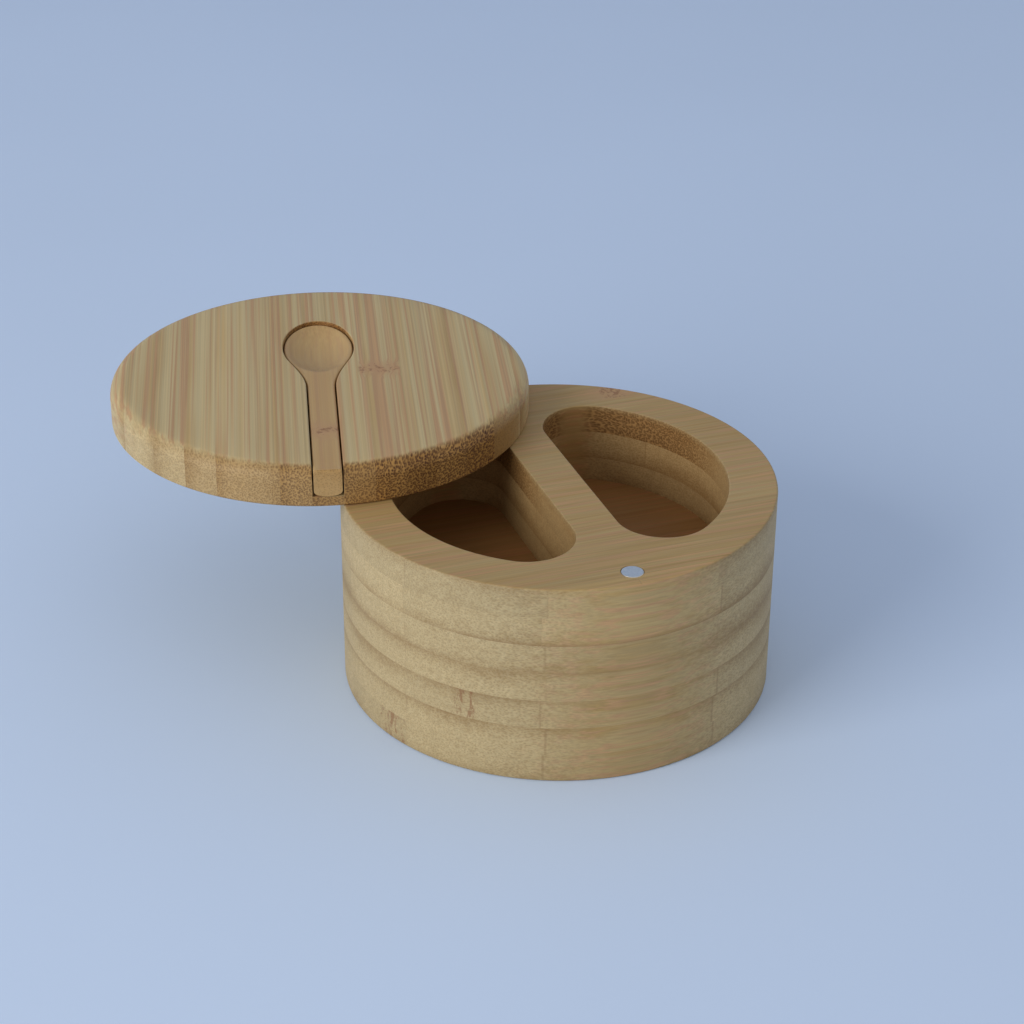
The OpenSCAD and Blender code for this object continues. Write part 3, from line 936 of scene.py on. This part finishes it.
class SALTBOX_OT_staves(bpy.types.Operator):
    """Make the lid's staves, with the spoon's recess cut into the middle ones"""

    bl_idname = "saltbox.staves"
    bl_label = "Staves"

    def execute(self, context):
        sizes, colours = context.scene.salt_box_sizes, context.scene.salt_box_colours
        closed_magnet_y = middle("base_magnet")[1]
        pin_hole = (PIVOT, PIN_R + sizes.pin_air, LID_LOW - CLEAR,
                    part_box("pivot_pin")[1].z + sizes.pin_end_air)
        magnet_hole = (middle("lid_magnet")[:2], MAGNET_R + sizes.magnet_air, LID_LOW - CLEAR,
                       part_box("lid_magnet")[1].z)
        for k, node in enumerate(STAVES):
            low, high = closed_span(node)
            y0, y1 = float(low[1]), float(high[1])
            if node.startswith("lid_edge_strip"):
                y0, y1 = max(y0, -RADIUS), min(y1, RADIUS)
            if max(abs(y0), abs(y1)) < STAVE_W:
                surface = middle_stave_surface(sizes, y0, y1)
            elif min(abs(y0), abs(y1)) < STAVE_W:
                surface = side_stave_surface(sizes, y0, y1)
            else:
                surface = stave_surface(sizes, y0, y1)
            points, faces = surface
            place = round((y0 + y1) / 2 / STAVE_W) + len(STAVE_ENDS) // 2
            browned_and_shaded, crowd, end_tone = STAVE_ENDS[min(max(place, 0), len(STAVE_ENDS) - 1)]
            knots = [(x, y, across, along) for x, y, across, along in LID_KNOTS
                     if y0 / MM < y + across and y1 / MM > y - across]
            material = bamboo(f"bamboo_{node}", colours, colours.stave_pale, colours.stave_rich,
                              swing=True, thick="Y", low=y0, high=y1, dense_high=k % 4 == 1,
                              seed=20 + k, browned_and_shaded=browned_and_shaded, crowd=crowd, end_tone=end_tone,
                              density=1.75, streaks=1.15, line=0.25, knots=knots)
            obj = piece(node.replace("lid_", "lid_piece_"), (swung(points), faces), material, "lid", [node])
            holes = [pin_hole] if y0 < PIVOT[1] < y1 else []
            if y0 < closed_magnet_y + MAGNET_R and y1 > closed_magnet_y - MAGNET_R:
                holes.append(magnet_hole)
            if holes:
                drilled(obj, holes)
            mark_faces(obj, LID_GRAIN, LID_CENTRE, LID_TOP, LID_LOW, 2)
        return {"FINISHED"}


class SALTBOX_OT_spoon(bpy.types.Operator):
    """Make the spoon that lies in the lid"""

    bl_idname = "saltbox.spoon"
    bl_label = "Spoon"

    def execute(self, context):
        sizes, colours = context.scene.salt_box_sizes, context.scene.salt_box_colours
        points, faces = spoon_surface(sizes)
        # The spoon is cut from a strip a little thicker than itself
        strip_low, strip_high = LID_LOW + 1 * MM, LID_TOP + 2 * MM
        material = bamboo("bamboo_spoon", colours, colours.spoon_pale, colours.spoon_rich, swing=True,
                          low=strip_low, high=strip_high, seed=50, browned_and_shaded=0.6, crowd=0.05, line=0.0,
                          streaks=0.5, knots=SPOON_KNOTS)
        spoon = piece("salt_spoon", (swung(points), faces), material, "spoon", ["spoon"])
        mark_faces(spoon, LID_GRAIN, LID_CENTRE, LID_LOW, LID_LOW)
        return {"FINISHED"}


class SALTBOX_OT_metal(bpy.types.Operator):
    """Make the pivot pin and the two disc magnets"""

    bl_idname = "saltbox.metal"
    bl_label = "Pin and magnets"

    def execute(self, context):
        sizes, colours = context.scene.salt_box_sizes, context.scene.salt_box_colours
        steel = metal("ground_steel", colours.steel, 0.12, 0.28)
        nickel = metal("bright_nickel", colours.nickel, 0.08, 0.30)
        for name, node, radius, ease, material, body in (
                ("swivel_pin", "pivot_pin", PIN_R, sizes.pin_ease, steel, "base"),
                ("rim_magnet", "base_magnet", MAGNET_R, sizes.magnet_ease, nickel, "base"),
                ("lid_disc_magnet", "lid_magnet", MAGNET_R, sizes.magnet_ease, nickel, "lid")):
            low, high = (corner.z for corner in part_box(node))
            profile = [(0, low), (radius * 0.9, low)]
            profile += arc((radius - ease, low + ease), ease, -90, 0, sizes.arc_steps).tolist()
            profile += arc((radius - ease, high - ease), ease, 0, 90, sizes.arc_steps).tolist()
            profile += [(radius * 0.9, high), (0, high)]
            piece(name, turned(profile, middle(node)[:2], 96), material, body, [node])
        return {"FINISHED"}


class SALTBOX_OT_stage(bpy.types.Operator):
    """Set up the floor, the light and the camera"""

    bl_idname = "saltbox.stage"
    bl_label = "Stage"

    def execute(self, context):
        colours = context.scene.salt_box_colours
        scene = context.scene
        self.floor(colours)
        self.lights(scene)
        self.camera(scene)
        scene.view_settings.view_transform = "Standard"
        return {"FINISHED"}

    def floor(self, colours):
        """A floor that curves up into a backdrop far behind the box: a quarter round carried sideways."""
        reach, back, curve, top, rows = 6.0, 3.0, 1.5, 6.0, 13
        profile = [(-reach, 0.0), (back - curve, 0.0)]
        profile += arc((back - curve, curve), curve, -90, 0, 24).tolist()[1:]
        profile += [(back, top)]
        along, height = np.array(profile).T
        x = np.linspace(-reach, reach, rows)[:, None]
        points = np.stack(np.broadcast_arrays(x, along, height), -1).reshape(-1, 3)
        g = Nodes("pale_floor")
        place = g.add("TexCoord", out=3)
        cloud = g.noise(place, 3.0, 2.0)
        tone = g.ramp(cloud, 0.2, 0.8, 0.98, 1.02)
        colour = g.blend(1.0, rgba(colours.floor), g.add("CombineColor", tone, tone, tone), "MULTIPLY")
        material = g.shader(base_color=colour, roughness=0.9, specular_ior_level=0.1)
        floor = piece("floor", (points, grid_faces(rows, len(along))), material)

    def lights(self, scene):
        """An even soft room, a large warm lamp on the left and a weak cool one on the right. Each lamp
        has a place, a width, a power and a colour, and is aimed at the middle of the base."""
        world = bpy.data.worlds.new("Soft room")
        world.use_nodes = True
        room = world.node_tree.nodes["Background"].inputs
        room["Color"].default_value = (0.87, 0.89, 0.93, 1)
        room["Strength"].default_value = 0.53
        scene.world = world
        target = Vector((0, 0, 30 * MM))
        for name, place, size, power, colour in (
                ("key", (-1.31, -0.46, 0.60), 0.9, 12.2, (1.0, 0.98, 0.95)),
                ("fill", (1.3, 0.1, 0.6), 1.0, 0.5, (0.85, 0.93, 1.0))):
            lamp = bpy.data.lights.new(name, "AREA")
            lamp.size, lamp.energy, lamp.color = size, power, colour
            holder = bpy.data.objects.new(name, lamp)
            holder.location = place
            aim = target - Vector(place)
            holder.rotation_euler = aim.to_track_quat("-Z", "Y").to_euler()
            scene.collection.objects.link(holder)

    def camera(self, scene):
        """The camera that the photograph's outlines give: its place, the direction it looks in, a
        small roll and the focal length in pixels of a picture 1024 pixels wide."""
        place = Vector((-0.2158, -0.5563, 0.3763))
        forward = Vector((0.2994, 0.8236, -0.4817)).normalized()
        roll, focal_pixels, picture = 0.007036, 2462.4, 1024
        right = forward.cross(Vector((0, 0, 1))).normalized()
        up = right.cross(forward)
        right, up = (math.cos(roll) * right + math.sin(roll) * up,
                     -math.sin(roll) * right + math.cos(roll) * up)
        data = bpy.data.cameras.new("camera")
        data.sensor_width = 36
        data.lens = focal_pixels * data.sensor_width / picture
        data.clip_start, data.clip_end = 0.05, 30
        camera = bpy.data.objects.new("camera", data)
        turn = Matrix((right, up, -forward)).transposed().to_4x4()
        camera.matrix_world = Matrix.Translation(place) @ turn
        scene.collection.objects.link(camera)
        scene.camera = camera


STEPS = (SALTBOX_OT_stage, SALTBOX_OT_boards, SALTBOX_OT_staves, SALTBOX_OT_spoon, SALTBOX_OT_metal)


class SALTBOX_PT_panel(bpy.types.Panel):
    """Sidebar panel with the salt box's parts"""

    bl_idname = "SALTBOX_PT_panel"
    bl_label = "Salt Box"
    bl_space_type = "VIEW_3D"
    bl_region_type = "UI"
    bl_category = "Salt Box"

    def draw(self, context):
        for step in STEPS:
            self.layout.operator(step.bl_idname)
        for group in (context.scene.salt_box_sizes, context.scene.salt_box_colours):
            for name in group.bl_rna.properties.keys():
                if name not in {"rna_type", "name"}:
                    self.layout.prop(group, name)


CLASSES = (SaltBoxSizes, SaltBoxColours, *STEPS, SALTBOX_PT_panel)


def register():
    for cls in CLASSES:
        bpy.utils.register_class(cls)
    bpy.types.Scene.salt_box_sizes = PointerProperty(type=SaltBoxSizes)
    bpy.types.Scene.salt_box_colours = PointerProperty(type=SaltBoxColours)


def unregister():
    del bpy.types.Scene.salt_box_sizes
    del bpy.types.Scene.salt_box_colours
    for cls in reversed(CLASSES):
        bpy.utils.unregister_class(cls)


def main():
    register()
    bpy.ops.saltbox.stage()
    bpy.ops.saltbox.boards()
    bpy.ops.saltbox.staves()
    bpy.ops.saltbox.spoon()
    bpy.ops.saltbox.metal()


if __name__ == "__main__":
    main()
